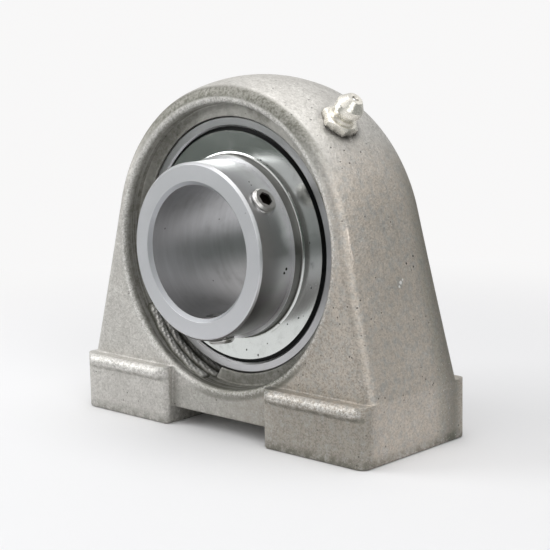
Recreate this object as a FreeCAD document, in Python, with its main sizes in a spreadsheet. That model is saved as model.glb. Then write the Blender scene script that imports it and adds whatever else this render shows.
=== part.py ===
"""Tapped-base pillow block with a wide inner ring insert bearing, 30 mm shaft.

Origin at the centre of the spherical seat, on the shaft axis. The shaft runs
along Y with the set-screw side at -Y, Z is up, and the feet rest at
Z = -centre_height. Millimetres.
"""
import FreeCAD, Part
import Sketcher
import math
import os

Vector = FreeCAD.Vector

# Dimensions: alias, value or formula on the other aliases, meaning
SIZES = [
    ("bore_radius", 15.0, "shaft bore of the inner ring"),
    ("bore_chamfer", 0.85, "chamfer at both mouths of the bore"),
    ("collar_wall", 5.0, "wall of the inner ring"),
    ("collar_radius", "=bore_radius + collar_wall", "outside of the inner ring"),
    ("collar_chamfer", 0.55, "chamfer at both ends of the inner ring"),
    ("inner_shoulder", 1.8125, "depth of the inner ring's ball groove"),
    ("ball_radius", 4.7625, "3/8 inch ball"),
    ("ball_count", 9.0, "balls in the row"),
    ("ball_clearance", 0.05, "gap between a ball and each groove"),
    ("groove_conformity", 1.04, "groove radius over ball radius"),
    ("inner_race", "=collar_radius - inner_shoulder", "bottom of the inner ball groove"),
    ("pitch_radius", "=inner_race + ball_clearance + ball_radius", "circle of the ball centres"),
    ("outer_race", "=pitch_radius + ball_radius + ball_clearance", "bottom of the outer ball groove"),
    ("outer_shoulder", 2.2125, "depth of the outer ring's ball groove"),
    ("outer_land_radius", "=outer_race - outer_shoulder", "outer ring beside the ball groove"),
    ("seal_ledge", 1.5, "step from that land out to the seal's seat"),
    ("outer_bore_radius", "=outer_land_radius + seal_ledge", "mouth of the outer ring, round the seal"),
    ("outer_wall", 3.1875, "outer ring behind its ball groove"),
    ("sphere_radius", "=outer_race + outer_wall", "spherical outside of the outer ring"),
    ("outer_width", 19.0, "width of the outer ring"),
    ("mouth_chamfer", 0.4, "edge break of the outer ring's mouth"),
    ("sphere_chamfer", 0.45, "chamfer where the outer ring's sphere meets its faces"),
    ("cage_sheet", 0.6, "thickness of the pressed cage"),
    ("cage_half_width", 1.7, "half of the cage ribbon, measured radially"),
    ("cage_clearance", 0.12, "gap between a ball and its cage pocket"),
    ("rivet_radius", 0.55, "shank of a cage rivet"),
    ("rivet_clearance", 0.05, "gap between a rivet and its hole"),
    ("rivet_head_radius", 1.0, "head of a cage rivet"),
    ("rivet_head_height", 0.45, "height of a cage rivet's head"),
    ("seal_seat_depth", 2.9, "depth of the seal's seat in the outer ring's mouth"),
    ("mouth_lip", 1.0, "width of the lip that holds the seal in"),
    ("seal_groove", 0.35, "undercut that the seal snaps into"),
    ("seal_sheet", 0.9, "thickness of the seal's web"),
    ("seal_fit", 0.03, "gap between the seal's bead and its groove"),
    ("seal_bead", 0.8, "seal's bead inside the outer ring's mouth"),
    ("seal_lip", 0.45, "thickness of the seal's lip"),
    ("seal_lip_reach", 1.7, "how far the seal's lip reaches inwards"),
    ("seal_lip_gap", 0.06, "gap between the seal's lip and the inner ring"),
    ("flinger_gap", 0.9, "gap between the flinger and the outer ring's mouth"),
    ("flinger_radius", "=outer_bore_radius - flinger_gap", "outside of the flinger"),
    ("flinger_sheet", 0.8, "thickness of the flinger"),
    ("flinger_stand", 0.25, "how far the flinger's face stands out of the outer ring"),
    ("flinger_face", "=outer_width / 2 + flinger_stand", "seat centre to the flinger's outer face"),
    ("flinger_hub", 2.6, "height of the flinger's hub over its face"),
    ("flinger_dish", 0.15, "set-back of the flinger's rim"),
    ("flinger_bend", 0.7, "radius of the bend between the flinger's disc and hub"),
    ("screw_radius", 2.95, "set screw over its thread crests"),
    ("screw_proud", 1.12, "how far a set screw stands out of the inner ring"),
    ("screw_socket", 3.0, "hexagon socket across its flats"),
    ("screw_socket_depth", 2.6, "depth of the hexagon socket"),
    ("screw_chamfer", 0.5, "chamfer at both ends of a set screw"),
    ("screw_cup_radius", 1.5, "radius of the set screw's cup point"),
    ("screw_cup_depth", 0.7, "depth of the set screw's cup point"),
    ("screw_bore_gap", 0.12, "set screw's tip above the shaft bore"),
    ("screw_clearance", 0.05, "gap between a set screw and its tapped hole"),
    ("screw_length", "=collar_wall - screw_bore_gap + screw_proud", "length of a set screw"),
    ("screw_offset", 5.1, "set screw's axis from the inner ring's end"),
    ("screw_land", 1.75, "inner ring between the flinger's hub and the set screw's hole"),
    ("hub_end", "=flinger_face + flinger_hub", "seat centre to the end of the flinger's hub"),
    ("long_side", "=hub_end + screw_land + screw_radius + screw_clearance + screw_offset",
     "seat centre to the inner ring's face by the screws"),
    ("short_land", 3.55, "inner ring past the rear flinger's hub"),
    ("short_side", "=hub_end + short_land", "seat centre to the inner ring's face away from the screws"),
    ("screw_angle", 36.6, "first set screw, degrees from +X towards +Z"),
    ("screw_spacing", 120.0, "degrees between the set screws"),
    ("seat_clearance", 0.06, "gap between the outer ring and its seat"),
    ("seat_margin", 0.4, "seat beyond the outer ring's face"),
    ("seat_half_width", "=outer_width / 2 + seat_margin", "half width of the spherical seat"),
    ("recess_step", 1.3, "step from the seat's sphere out to the recess"),
    ("recess_radius", "=sphere_radius + recess_step", "round recess in front of and behind the seat"),
    ("recess_depth", 2.7, "depth of the recess at the top of the arch"),
    ("recess_round", 1.2, "rounding of the recess's mouth"),
    ("crown_wall", 6.1, "wall over the recess at the crown"),
    ("crown_radius", "=recess_radius + crown_wall", "outside of the arch at its middle"),
    ("arch_half_top", "=seat_half_width + recess_depth", "half depth of the arch at its top"),
    ("arch_lean", 3.7, "how much further each face is from the middle at the mounting surface"),
    ("arch_half_foot", "=arch_half_top + arch_lean", "half depth of the arch at the mounting surface"),
    ("arch_round", 2.8, "rounding between the arch and its faces"),
    ("relief_height", 4.2, "space under the web between the feet"),
    ("web_wall", 6.4, "wall under the recess, above that space"),
    ("centre_height", "=recess_radius + web_wall + relief_height",
     "shaft centre above the mounting surface"),
    ("base_length", 89.0, "length of the base"),
    ("foot_ledge", 1.9, "how far the feet stand out of the arch's faces at the mounting surface"),
    ("base_depth", "=(arch_half_foot + foot_ledge) * 2", "depth of the feet"),
    ("foot_gap", 31.0, "space between the feet"),
    ("foot_rise", 3.0, "top of a foot above the bottom of the recess"),
    ("foot_height", "=relief_height + web_wall + foot_rise", "height of a foot"),
    ("foot_corner", 2.4, "rounding of a foot's upright outer corners"),
    ("foot_inner_corner", 1.3, "rounding of a foot's upright inner corners"),
    ("sole_round", 0.6, "rounding round the sole of a foot"),
    ("bead_radius", 1.7, "rounded bead along the top of a foot"),
    ("bead_proud", 1.0, "how far the bead stands out of the foot's face"),
    ("bead_end", 1.6, "a bead's end from the foot's outer end"),
    ("slot_width", 24.0, "loading slot across"),
    ("slot_gap", 1.3, "gap between the outer ring's sphere and the loading slot's floor"),
    ("slot_floor_radius", "=sphere_radius + slot_gap", "floor of the loading slot"),
    ("slot_reach", 4.5, "how far the loading slot runs past the seat's middle"),
    ("slot_angle", 236.0, "loading slot, degrees from +X towards +Z"),
    ("grease_groove_width", 5.2, "grease groove in the seat, across"),
    ("grease_groove_shift", 4.1, "middle of the grease groove before the seat's middle"),
    ("grease_groove_depth", 0.7, "depth of the grease groove"),
    ("ring_port_radius", 0.6, "grease port through the outer ring"),
    ("ring_port_offset", 5.35, "grease ports before the seat's middle"),
    ("hole_edge", 11.5, "tapped hole's axis from the foot's outer end"),
    ("hole_spacing", "=base_length - hole_edge * 2", "distance between the tapped holes"),
    ("hole_radius", 6.0, "tapped hole at its thread's minor diameter, M14"),
    ("hole_depth", 18.0, "full depth of the tapped hole"),
    ("hole_mouth", 7.3, "radius of the countersink at the tapped hole's mouth"),
    ("nipple_angle", 47.6, "grease nipple, degrees from +X towards +Z"),
    ("nipple_shift", 3.1, "grease nipple's axis before the seat's middle"),
    ("nipple_sink", 0.55, "depth of the spot face under the grease nipple"),
    ("nipple_seat", "=crown_radius - nipple_sink", "that spot face, from the centre"),
    ("nipple_spot_radius", 4.5, "radius of the spot face"),
    ("nipple_thread", 2.95, "radius of the grease nipple's thread"),
    ("nipple_fit", 0.05, "gap between the grease nipple and its tapped hole"),
    ("nipple_thread_length", 4.6, "length of the grease nipple's thread"),
    ("nipple_hex", 7.5, "grease nipple's hexagon across its flats"),
    ("nipple_hex_height", 1.9, "height of the grease nipple's hexagon"),
    ("nipple_turn", 32.5, "hexagon's first corner, degrees round the grease nipple"),
    ("nipple_height", 7.55, "grease nipple's height over its seat"),
    ("nipple_hex_bevel", 0.45, "bevel of the hexagon's upper corners"),
    ("nipple_collar", 3.0, "radius of the collar over the hexagon"),
    ("nipple_collar_height", 0.9, "height of that collar"),
    ("nipple_neck", 2.3, "radius of the neck under the head"),
    ("nipple_neck_height", 0.7, "height of the neck"),
    ("nipple_head", 3.2, "radius of the grease nipple's head"),
    ("nipple_head_cone", 0.65, "height of the cone under the head"),
    ("nipple_head_edge", 1.5, "height of the head's cylindrical edge"),
    ("nipple_tip", 1.8, "radius of the flat round the nipple's mouth"),
    ("nipple_mouth", 0.8, "radius of the nipple's mouth"),
    ("check_ball_radius", 1.0, "spring-loaded ball in the grease nipple"),
    ("check_ball_gap", 0.05, "gap between that ball and its seat"),
    ("check_ball_depth", 0.15, "how far that ball's top lies below the mouth"),
    ("nipple_bore", 1.25, "radius of the chamber behind the ball"),
    ("nipple_passage", 0.7, "radius of the passage below the chamber"),
    ("spring_wire", 0.14, "radius of the wire of the nipple's spring"),
    ("spring_turns", 4.0, "turns of the nipple's spring"),
    ("spring_gap", 0.05, "gap round the nipple's spring"),
    ("spring_length", 3.6, "length of the nipple's spring"),
]


class Size:
    """A number and the expression on the sheet that gives it."""

    def __init__(self, value, text):
        self.value = value
        self.text = text

    def join(self, other, sign, value):
        return Size(value, "(%s %s %s)" % (self.text, sign, other.text))

    def __add__(self, other):
        other = as_size(other)
        return self.join(other, "+", self.value + other.value)

    def __radd__(self, other):
        return as_size(other) + self

    def __sub__(self, other):
        other = as_size(other)
        return self.join(other, "-", self.value - other.value)

    def __rsub__(self, other):
        return as_size(other) - self

    def __mul__(self, other):
        other = as_size(other)
        return self.join(other, "*", self.value * other.value)

    def __rmul__(self, other):
        return as_size(other) * self

    def __truediv__(self, other):
        other = as_size(other)
        return self.join(other, "/", self.value / other.value)

    def __neg__(self):
        return as_size(0) - self


def as_size(number):
    if isinstance(number, Size):
        return number
    return Size(float(number), "%.9g" % number)


def root(size):
    return Size(math.sqrt(size.value), "sqrt(%s)" % size.text)


def sine(angle):
    return Size(math.sin(math.radians(angle.value)), "sin(%s)" % angle.text)


def cosine(angle):
    return Size(math.cos(math.radians(angle.value)), "cos(%s)" % angle.text)


def chord(radius, offset):
    """Half chord of a circle at a distance from its centre."""
    return root(radius * radius - offset * offset)


class Sheet:
    """The document's sheet of sizes; an attribute gives one as a Size."""

    def __init__(self, document):
        self.cells = document.addObject("Spreadsheet::Sheet", "sizes")
        for row, (alias, value, meaning) in enumerate(SIZES, start=1):
            self.cells.set("A%d" % row, meaning)
            self.cells.setAlias("B%d" % row, alias)
        for row, (alias, value, meaning) in enumerate(SIZES, start=1):
            self.cells.set("B%d" % row, str(value))
        document.recompute()

    def __getattr__(self, alias):
        return Size(float(self.cells.get(alias)), "sizes." + alias)


doc = FreeCAD.newDocument("pillow_block")
size = Sheet(doc)
parts = []


# Tools for bodies and sketches
def new_body(label):
    body = doc.addObject("PartDesign::Body", label)
    body.Label = label
    parts.append(body)
    return body


def origin_plane(body, role):
    return [f for f in body.Origin.OriginFeatures if f.Role == role][0]


def bind(feature, path, value):
    """Set one property, or tie it to the sheet where it is a Size."""
    if isinstance(value, Size):
        feature.setExpression(path, value.text)
    else:
        setattr(feature, path, value)


def new_sketch(body, name, plane, shift=None, turn=None, rise=None):
    """Sketch on an origin plane, moved along and turned about its normal, or moved up."""
    sketch = body.newObject("Sketcher::SketchObject", name)
    sketch.AttachmentSupport = [(origin_plane(body, plane), "")]
    sketch.MapMode = "FlatFace"
    if shift is not None:
        sketch.setExpression("AttachmentOffset.Base.z", shift.text)
    if turn is not None:
        sketch.setExpression("AttachmentOffset.Rotation.Angle", turn.text)
    if rise is not None:
        sketch.setExpression("AttachmentOffset.Base.y", rise.text)
    return sketch


def constrain(sketch, kind, *what):
    """Add a constraint whose last value is a Size."""
    value = what[-1]
    index = sketch.addConstraint(Sketcher.Constraint(kind, *what[:-1], value.value))
    sketch.setExpression("Constraints[%d]" % index, value.text)


def arc_between(start, end, radius):
    """Arc from start to end with its centre on the left, or right if radius < 0."""
    middle = (start + end) * 0.5
    half = (end - start) * 0.5
    left = Vector(-half.y, half.x, 0).normalize()
    rise = math.sqrt(max(radius * radius - half.Length ** 2, 0.0))
    centre = middle + left * (rise if radius > 0 else -rise)
    first, last = (start, end) if radius > 0 else (end, start)
    angles = [math.atan2(p.y - centre.y, p.x - centre.x) for p in (first, last)]
    circle = Part.Circle(centre, Vector(0, 0, 1), abs(radius))
    return Part.ArcOfCircle(circle, angles[0], angles[1])


def outline(sketch, corners, arcs=None):
    """Closed outline through the corners, each one tied to the sheet.

    arcs gives the radius of the side that starts at a corner: positive where
    the centre lies to the left of the way round, negative where to the right.
    """
    arcs = arcs or {}
    first = sketch.GeometryCount
    count = len(corners)
    points = [Vector(as_size(u).value, as_size(v).value, 0) for u, v in corners]
    starts = []
    for i, start in enumerate(points):
        end = points[(i + 1) % count]
        if i in arcs:
            radius, side = arcs[i]
            sketch.addGeometry(arc_between(start, end, side * radius.value), False)
            starts.append(1 if side > 0 else 2)
        else:
            sketch.addGeometry(Part.LineSegment(start, end), False)
            starts.append(1)
    for i in range(count):
        following = (i + 1) % count
        sketch.addConstraint(Sketcher.Constraint(
            "Coincident", first + i, 3 - starts[i], first + following, starts[following]))
    for i, (u, v) in enumerate(corners):
        constrain(sketch, "DistanceX", -1, 1, first + i, starts[i], as_size(u))
        constrain(sketch, "DistanceY", -1, 1, first + i, starts[i], as_size(v))
        if i in arcs:
            constrain(sketch, "Radius", first + i, arcs[i][0])


def circle(sketch, u, v, radius):
    u, v = as_size(u), as_size(v)
    shape = Part.Circle(Vector(u.value, v.value, 0), Vector(0, 0, 1), radius.value)
    index = sketch.addGeometry(shape, False)
    constrain(sketch, "DistanceX", -1, 1, index, 3, u)
    constrain(sketch, "DistanceY", -1, 1, index, 3, v)
    constrain(sketch, "Radius", index, radius)


def add_feature(body, kind, name, **settings):
    feature = body.newObject("PartDesign::" + kind, name)
    for path, value in settings.items():
        bind(feature, path, value)
    doc.recompute()
    return feature


def revolve(body, sketch, name, cut=False, axis="V_Axis"):
    kind = "Groove" if cut else "Revolution"
    return add_feature(body, kind, name, Profile=sketch,
                       ReferenceAxis=(sketch, [axis]), Angle=360.0)


def pad(body, sketch, name, length, both_ways=False, backwards=False):
    side = "Symmetric" if both_ways else "One side"
    return add_feature(body, "Pad", name, Profile=sketch, SideType=side,
                       Length=length, Reversed=backwards)


def pocket(body, sketch, name, length=None, both_ways=False, backwards=False):
    side = "Symmetric" if both_ways else "One side"
    kind = "Length" if length is not None else "ThroughAll"
    feature = add_feature(body, "Pocket", name, Profile=sketch, Type=kind,
                          SideType=side, Reversed=backwards)
    if length is not None:
        bind(feature, "Length", length)
        doc.recompute()
    return feature


def round_edges(body, base, name, radius, chosen):
    """Fillet the edges of the base for which chosen(edge) holds."""
    names = ["Edge%d" % (i + 1) for i, edge in enumerate(base.Shape.Edges) if chosen(edge)]
    return add_feature(body, "Fillet", name, Base=(base, names), Radius=radius)


def repeat_round_y(body, name, features, count):
    """Copy features round the shaft axis."""
    axis = [f for f in body.Origin.OriginFeatures if f.Role == "Y_Axis"][0]
    pattern = body.newObject("PartDesign::PolarPattern", name)
    pattern.Originals = features
    pattern.Axis = (axis, [""])
    pattern.Angle = 360.0
    bind(pattern, "Occurrences", count)
    body.Tip = pattern
    doc.recompute()
    return pattern


def middle_of(edge):
    return edge.valueAt((edge.FirstParameter + edge.LastParameter) / 2)


# Sizes that several pieces share
half_length = size.base_length / 2
half_depth = size.base_depth / 2
floor = -size.centre_height
foot_top = floor + size.foot_height
seat_radius = size.sphere_radius + size.seat_clearance
screw_end = -size.long_side
groove_radius = size.ball_radius * size.groove_conformity
half_outer = size.outer_width / 2


# The housing, one casting with two feet
def arch_outline(sketch, radius):
    """Arch of the given radius with straight flanks that touch it and end on the feet."""
    reach = half_length * half_length + foot_top * foot_top
    along = radius * radius / reach
    across = radius * root(reach - radius * radius) / reach
    touch_x = half_length * along - foot_top * across
    touch_z = foot_top * along + half_length * across
    bottom = floor + size.relief_height
    corners = [
        (-half_length, bottom),
        (half_length, bottom),
        (half_length, foot_top),
        (touch_x, touch_z),
        (-touch_x, touch_z),
        (-half_length, foot_top),
    ]
    outline(sketch, corners, {3: (radius, 1)})


def arch_body(body):
    """Crowned arch: full radius in the middle, as a ball's, less towards the faces."""
    reach = size.arch_half_foot + 1
    middle = new_sketch(body, "arch_middle", "XZ_Plane")
    arch_outline(middle, size.crown_radius)
    sides = []
    for name, shift in (("arch_front", reach), ("arch_rear", -reach)):
        side = new_sketch(body, name, "XZ_Plane", shift=shift)
        arch_outline(side, chord(size.crown_radius, reach))
        sides.append(side)
    loft = body.newObject("PartDesign::AdditiveLoft", "arch")
    loft.Profile = sides[0]
    loft.Sections = [middle, sides[1]]
    doc.recompute()
    return loft


def arch_faces(body):
    """Front and rear faces, which lean in towards the top."""
    outside = size.arch_half_foot * 2
    above = size.crown_radius + 1
    lean = (size.arch_half_foot - size.arch_half_top) / (size.centre_height + size.crown_radius)
    top = size.arch_half_top - lean
    sketch = new_sketch(body, "arch_faces", "YZ_Plane")
    for side in (-1, 1):
        corners = [
            (top * side, above),
            (size.arch_half_foot * side, floor),
            (outside * side, floor),
            (outside * side, above),
        ]
        outline(sketch, corners)
    return pocket(body, sketch, "arch_face_cut", both_ways=True)


def rounded_rectangle(sketch, low, high, radii):
    """Rectangle from low to high whose corners have the radii at low u and high u."""
    left, right = radii
    (u0, v0), (u1, v1) = low, high
    corners = [
        (u0 + left, v0), (u1 - right, v0), (u1, v0 + right), (u1, v1 - right),
        (u1 - right, v1), (u0 + left, v1), (u0, v1 - left), (u0, v0 + left),
    ]
    outline(sketch, corners, {1: (right, 1), 3: (right, 1), 5: (left, 1), 7: (left, 1)})


def feet(body):
    inner = size.foot_gap / 2
    sketch = new_sketch(body, "feet", "XY_Plane", shift=floor)
    rounded_rectangle(sketch, (inner, -half_depth), (half_length, half_depth),
                      (size.foot_inner_corner, size.foot_corner))
    rounded_rectangle(sketch, (-half_length, -half_depth), (-inner, half_depth),
                      (size.foot_corner, size.foot_inner_corner))
    return pad(body, sketch, "foot_pads", size.foot_height)


def foot_beads(body):
    """Beads with round ends along the top of each foot, front and rear."""
    radius = size.bead_radius
    low = size.foot_gap / 2 + size.foot_inner_corner
    high = half_length - size.bead_end
    out = half_depth + size.bead_proud - radius
    for number, (side, face) in enumerate(((1, 1), (1, -1), (-1, 1), (-1, -1)), start=1):
        sketch = new_sketch(body, "bead_%d" % number, "XZ_Plane",
                            shift=out * face, rise=foot_top - radius)
        corners = [(low, 0), (high, 0), (high - radius, radius), (low + radius, radius)]
        if side > 0:
            outline(sketch, corners, {1: (radius, 1), 3: (radius, 1)})
        else:
            mirrored = [(-u, v) for u, v in corners]
            outline(sketch, mirrored, {1: (radius, -1), 3: (radius, -1)})
        revolve(body, sketch, "bead_pad_%d" % number, axis="H_Axis")


def seat(body):
    """Spherical seat with a land and a round recess on each side, turned in one go."""
    deep = half_depth + 5
    land = chord(seat_radius, size.seat_half_width)
    sketch = new_sketch(body, "seat", "XY_Plane")
    corners = [
        (0, -deep),
        (size.recess_radius, -deep),
        (size.recess_radius, -size.seat_half_width),
        (land, -size.seat_half_width),
        (land, size.seat_half_width),
        (size.recess_radius, size.seat_half_width),
        (size.recess_radius, deep),
        (0, deep),
    ]
    outline(sketch, corners, {3: (seat_radius, 1)})
    return revolve(body, sketch, "seat_cut", cut=True)


def grease_groove(body):
    half = size.grease_groove_width / 2
    low = -size.grease_groove_shift - half
    high = -size.grease_groove_shift + half
    depth = seat_radius + size.grease_groove_depth
    inside = chord(seat_radius, size.seat_half_width)
    sketch = new_sketch(body, "grease_groove", "XY_Plane")
    outline(sketch, [(inside, low), (depth, low), (depth, high), (inside, high)])
    return revolve(body, sketch, "grease_groove_cut", cut=True)


def loading_slot(body):
    """Slot that lets the outer ring in on edge, before it is turned into its seat."""
    half = size.slot_width / 2
    end = chord(size.slot_floor_radius, half)
    sketch = new_sketch(body, "loading_slot", "XZ_Plane",
                        shift=-size.slot_reach, turn=size.slot_angle)
    corners = [(0, -half), (end, -half), (end, half), (0, half)]
    outline(sketch, corners, {1: (size.slot_floor_radius, 1)})
    return pocket(body, sketch, "loading_slot_cut", backwards=True)


def nipple_port(body):
    """Spot face, tapped hole and passage to the grease groove."""
    bore = size.nipple_thread + size.nipple_fit
    bottom = size.nipple_seat - size.nipple_thread_length - size.nipple_fit
    passage = size.nipple_thread / 2
    inside = size.sphere_radius - 1
    above = size.crown_radius + 3
    sketch = new_sketch(body, "nipple_port", "XZ_Plane",
                        shift=size.nipple_shift, turn=size.nipple_angle)
    corners = [
        (inside, 0), (above, 0), (above, size.nipple_spot_radius),
        (size.nipple_seat, size.nipple_spot_radius), (size.nipple_seat, bore),
        (bottom, bore), (bottom, passage), (inside, passage),
    ]
    outline(sketch, corners)
    return revolve(body, sketch, "nipple_port_cut", cut=True, axis="H_Axis")


def base_holes(body):
    """Two blind tapped holes in the feet, at their thread's minor diameter."""
    sketch = new_sketch(body, "base_holes", "XY_Plane", shift=floor)
    for side in (-1, 1):
        circle(sketch, size.hole_spacing / 2 * side, 0, size.hole_radius)
    doc.recompute()
    hole = body.newObject("PartDesign::Hole", "tapped_holes")
    hole.Profile = sketch
    hole.Reversed = True
    hole.DepthType = "Dimension"
    hole.DrillPoint = "Angled"
    hole.DrillPointAngle = 118.0
    hole.HoleCutType = "Countersink"
    hole.HoleCutCountersinkAngle = 90.0
    bind(hole, "Depth", size.hole_depth)
    bind(hole, "Diameter", size.hole_radius * 2)
    bind(hole, "HoleCutDiameter", size.hole_mouth * 2)
    doc.recompute()
    return hole


def housing():
    body = new_body("housing")
    arch_body(body)
    cut = arch_faces(body)
    above_feet = foot_top.value + 0.5

    def on_rim(edge):
        at = middle_of(edge)
        lengthwise = abs(edge.Vertexes[0].Y - edge.Vertexes[-1].Y) < 6
        return abs(at.y) > size.arch_half_top.value - 1 and at.z > above_feet and lengthwise

    round_edges(body, cut, "arch_rounding", size.arch_round, on_rim)
    turned = seat(body)

    def on_mouth(edge):
        at = middle_of(edge)
        outside = abs(at.y) > size.arch_half_top.value - 1 and edge.Length > size.recess_radius.value
        return outside and abs(math.hypot(at.x, at.z) - size.recess_radius.value) < 0.05

    round_edges(body, turned, "recess_mouth", size.recess_round, on_mouth)
    grease_groove(body)
    standing = feet(body)

    def at_sole(edge):
        return all(abs(corner.Z - floor.value) < 0.01 for corner in edge.Vertexes)

    round_edges(body, standing, "sole_rounding", size.sole_round, at_sole)
    foot_beads(body)
    revolve(body, turned.Profile[0], "seat_clear", cut=True)
    loading_slot(body)
    nipple_port(body)
    base_holes(body)


# The outer ring with its two seals
def outer_ring():
    body = new_body("outer_ring")
    edge = chord(size.sphere_radius, half_outer)
    side = half_outer - size.sphere_chamfer
    mouth = size.outer_bore_radius
    centre = size.outer_race - groove_radius
    groove_half = chord(groove_radius, size.outer_land_radius - centre)
    lip = half_outer - size.mouth_lip
    step = half_outer - size.seal_seat_depth
    upper = [
        (chord(size.sphere_radius, side), side),
        (edge - size.sphere_chamfer, half_outer),
        (mouth + size.mouth_chamfer, half_outer),
        (mouth, half_outer - size.mouth_chamfer),
        (mouth, lip),
        (mouth + size.seal_groove, lip),
        (mouth + size.seal_groove, step),
        (size.outer_land_radius, step),
        (size.outer_land_radius, groove_half),
    ]
    lower = [(r, -y) for r, y in reversed(upper)]
    sketch = new_sketch(body, "ring_section", "XY_Plane")
    arcs = {len(upper) - 1: (groove_radius, -1), 2 * len(upper) - 1: (size.sphere_radius, 1)}
    outline(sketch, upper + lower, arcs)
    revolve(body, sketch, "turned_ring")
    ports = new_sketch(body, "grease_ports", "YZ_Plane")
    circle(ports, -size.ring_port_offset, 0, size.ring_port_radius)
    pocket(body, ports, "grease_port_cut", both_ways=True)


def seal(label, side):
    """Rubber seal, snapped into the outer ring's mouth; its lip rides on the inner ring."""
    body = new_body(label)
    outside = size.outer_bore_radius + size.seal_groove - size.seal_fit
    bead = size.outer_bore_radius - size.seal_bead
    face = half_outer - size.mouth_lip - size.seal_fit
    back = half_outer - size.seal_seat_depth + size.seal_fit
    lip = size.collar_radius + size.seal_lip_gap
    web = face - size.seal_sheet
    tip = face - size.seal_lip_reach
    corners = [
        (outside, back),
        (outside, face),
        (lip, face),
        (lip, tip),
        (lip + size.seal_lip, tip),
        (lip + size.seal_lip * 2, web),
        (bead, web),
        (bead, back),
    ]
    sketch = new_sketch(body, "seal_section", "XY_Plane")
    outline(sketch, [(r, y * side) for r, y in corners])
    revolve(body, sketch, "moulded_seal")


# The inner ring with its set screws and flingers
screw_y = screw_end + size.screw_offset
screw_angles = (size.screw_angle, size.screw_angle - size.screw_spacing)


def inner_ring():
    body = new_body("inner_ring")
    centre = size.inner_race + groove_radius
    groove_half = chord(groove_radius, centre - size.collar_radius)
    collar, bore = size.collar_radius, size.bore_radius
    edge, mouth = size.collar_chamfer, size.bore_chamfer
    corners = [
        (bore + mouth, screw_end),
        (collar - edge, screw_end),
        (collar, screw_end + edge),
        (collar, -groove_half),
        (collar, groove_half),
        (collar, size.short_side - edge),
        (collar - edge, size.short_side),
        (bore + mouth, size.short_side),
        (bore, size.short_side - mouth),
        (bore, screw_end + mouth),
    ]
    sketch = new_sketch(body, "ring_section", "XY_Plane")
    outline(sketch, corners, {3: (groove_radius, -1)})
    revolve(body, sketch, "turned_ring")
    hole = size.screw_radius + size.screw_clearance
    for number, angle in enumerate(screw_angles, start=1):
        section = new_sketch(body, "screw_hole_%d" % number, "XZ_Plane",
                             shift=-screw_y, turn=angle)
        outline(section, [(bore - 2, 0), (collar + 2, 0), (collar + 2, hole), (bore - 2, hole)])
        revolve(body, section, "screw_hole_cut_%d" % number, cut=True, axis="H_Axis")


def flinger(label, side):
    """Pressed sheet disc with a short hub that grips the inner ring."""
    body = new_body(label)
    face, sheet = size.flinger_face, size.flinger_sheet
    inner, hub = size.collar_radius, size.collar_radius + size.flinger_sheet
    rim = size.flinger_radius
    corners = [
        (inner, face - sheet),
        (hub, face - sheet),
        (rim, face - sheet - size.flinger_dish),
        (rim, face - size.flinger_dish),
        (hub, face),
        (hub, face + size.flinger_hub),
        (inner, face + size.flinger_hub),
    ]
    sketch = new_sketch(body, "flinger_section", "XY_Plane")
    outline(sketch, [(r, y * side) for r, y in corners])
    disc = revolve(body, sketch, "pressed_disc")

    def at_bend(edge):
        at = edge.Vertexes[0].Point
        return abs(math.hypot(at.x, at.z) - hub.value) < 0.01 and abs(at.y - face.value * side) < 0.01

    round_edges(body, disc, "bend", size.flinger_bend, at_bend)


def set_radial(body, reach, shift, angle):
    """Stand a piece made along Z on the shaft's radius at an angle, at y = shift."""
    body.Placement = FreeCAD.Placement(Vector(), FreeCAD.Rotation(Vector(0, 1, 0), 90))
    body.setExpression("Placement.Rotation.Angle", (90 - angle).text)
    body.setExpression("Placement.Base.x", (reach * cosine(angle)).text)
    body.setExpression("Placement.Base.y", as_size(shift).text)
    body.setExpression("Placement.Base.z", (reach * sine(angle)).text)
    doc.recompute()


def hexagon(sketch, across_flats):
    corner = across_flats / root(as_size(3))
    corners = []
    for turn in range(0, 360, 60):
        corners.append((corner * math.cos(math.radians(turn)), corner * math.sin(math.radians(turn))))
    outline(sketch, corners)


def set_screw(label, angle):
    """Cup-point set screw with a hexagon socket, made along Z from its tip."""
    body = new_body(label)
    radius, length, edge = size.screw_radius, size.screw_length, size.screw_chamfer
    corners = [
        (0, size.screw_cup_depth),
        (size.screw_cup_radius, 0),
        (radius - edge, 0),
        (radius, edge),
        (radius, length - edge),
        (radius - edge, length),
        (0, length),
    ]
    sketch = new_sketch(body, "screw_section", "XZ_Plane")
    outline(sketch, corners)
    revolve(body, sketch, "turned_screw")
    socket = new_sketch(body, "socket", "XY_Plane", shift=length)
    hexagon(socket, size.screw_socket)
    pocket(body, socket, "socket_cut", size.screw_socket_depth)
    set_radial(body, size.bore_radius + size.screw_bore_gap, screw_y, angle)


# The balls and their riveted ribbon cage
def ball(number):
    shape = doc.addObject("Part::Sphere", "ball_%d" % number)
    shape.Label = "ball_%d" % number
    shape.setExpression("Radius", size.ball_radius.text)
    turn = as_size(360 * (number - 1)) / size.ball_count
    shape.setExpression("Placement.Base.x", (size.pitch_radius * cosine(turn)).text)
    shape.setExpression("Placement.Base.z", (size.pitch_radius * sine(turn)).text)
    parts.append(shape)


def pocket_sphere(body, kind, name, radius, side):
    """Half a sphere on the pitch circle that bulges to one side."""
    sphere = body.newObject("PartDesign::" + kind, name)
    bind(sphere, "Radius", radius)
    sphere.Angle1 = 0
    sphere.AttachmentOffset = FreeCAD.Placement(
        Vector(), FreeCAD.Rotation(Vector(1, 0, 0), -90 * side))
    sphere.setExpression("AttachmentOffset.Base.x", size.pitch_radius.text)
    sphere.AttachmentSupport = [(origin_plane(body, "XY_Plane"), "")]
    sphere.MapMode = "ObjectXY"
    doc.recompute()
    return sphere


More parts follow.
